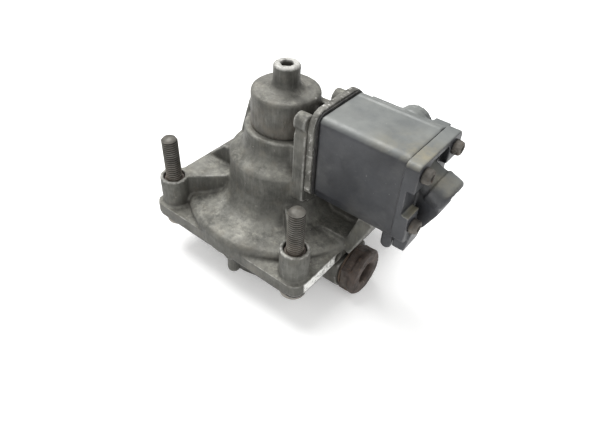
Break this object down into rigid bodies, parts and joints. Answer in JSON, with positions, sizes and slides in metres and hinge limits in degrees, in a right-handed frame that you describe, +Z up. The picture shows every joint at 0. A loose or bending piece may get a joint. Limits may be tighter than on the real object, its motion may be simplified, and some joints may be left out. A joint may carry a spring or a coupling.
{
  "type": "solenoid valve",
  "caption": "Electro-pneumatic relay valve: flanged, stepped cast tower with clamping bolts, a screwed air port, and a box-shaped solenoid unit with a tipped connector on its side.",
  "frame": {"origin": "where the tower axis meets the plane that the valve rests on", "axes": "+Z up along the tower axis, +X towards the solenoid unit's connector and the supply port, +Y away from the side with the small stub under the flange"},
  "size_m": [0.1419, 0.1006, 0.1064],
  "materials": {
    "cast_aluminium": "weathered die casting with dirt in its corners",
    "machined_aluminium": "machined, dulled",
    "bolt_steel": "worn and dusty",
    "rusty_steel": "brown surface rust",
    "bright_steel": "ground",
    "dark_plastic": "moulded, dusty",
    "pale_resin": "moulded",
    "black_rubber": "matt",
    "copper": "bare copper",
    "brass": "turned"
  },
  "bodies": {
    "housing": {"upper_housing": "cast_aluminium", "lower_housing": "cast_aluminium", "housing_gasket": "black_rubber", "flange_bolt_front_left": "bolt_steel", "flange_bolt_front_right": "bolt_steel", "flange_bolt_back_left": "bolt_steel", "flange_bolt_back_right": "bolt_steel", "bolt_collar_front_left": "rusty_steel", "bolt_collar_front_right": "rusty_steel", "bolt_collar_back_left": "rusty_steel", "bolt_collar_back_right": "rusty_steel", "top_cap": "cast_aluminium", "cap_seal_ring": "black_rubber", "vent_filter": "brass", "valve_spring": "bright_steel", "valve_guide": "dark_plastic", "guide_seal_ring": "black_rubber", "guide_circlip": "bright_steel", "exhaust_shield": "black_rubber", "port_adapter": "rusty_steel", "port_seal_washer": "copper", "interface_plate": "machined_aluminium", "interface_gasket": "black_rubber", "solenoid_housing": "dark_plastic", "end_cover": "dark_plastic", "cover_screw_1": "bolt_steel", "cover_screw_2": "bolt_steel", "cover_screw_3": "bolt_steel", "cover_screw_4": "bolt_steel", "rear_plug": "dark_plastic", "coil_bobbin": "pale_resin", "coil_winding": "copper", "yoke_frame": "bolt_steel", "fixed_core": "bright_steel", "armature_spring": "bright_steel", "valve_nozzle": "brass", "contact_pin_1": "brass", "contact_pin_2": "brass", "contact_pin_3": "brass"},
    "inlet_valve_body": {"inlet_valve": "bright_steel", "valve_facing": "black_rubber"},
    "piston_body": {"relay_piston": "machined_aluminium", "piston_seal_ring": "black_rubber"},
    "armature_body": {"armature": "bright_steel", "armature_seal": "black_rubber"}
  },
  "joints": [
    {"name": "inlet_valve_slide", "type": "slide", "parent": "housing", "child": "inlet_valve_body", "axis": [0, 0, 1], "range_m": [-0.0025, 0], "stiffness_N_per_m": 1200, "springref_m": 0.002, "deforming": ["valve_spring"]},
    {"name": "piston_slide", "type": "slide", "parent": "inlet_valve_body", "child": "piston_body", "axis": [0, 0, 1], "range_m": [0, 0.0015]},
    {"name": "armature_slide", "type": "slide", "parent": "housing", "child": "armature_body", "axis": [0, 0, 1], "range_m": [0, 0.0014], "stiffness_N_per_m": 300, "springref_m": -0.002, "deforming": ["armature_spring"]}
  ]
}
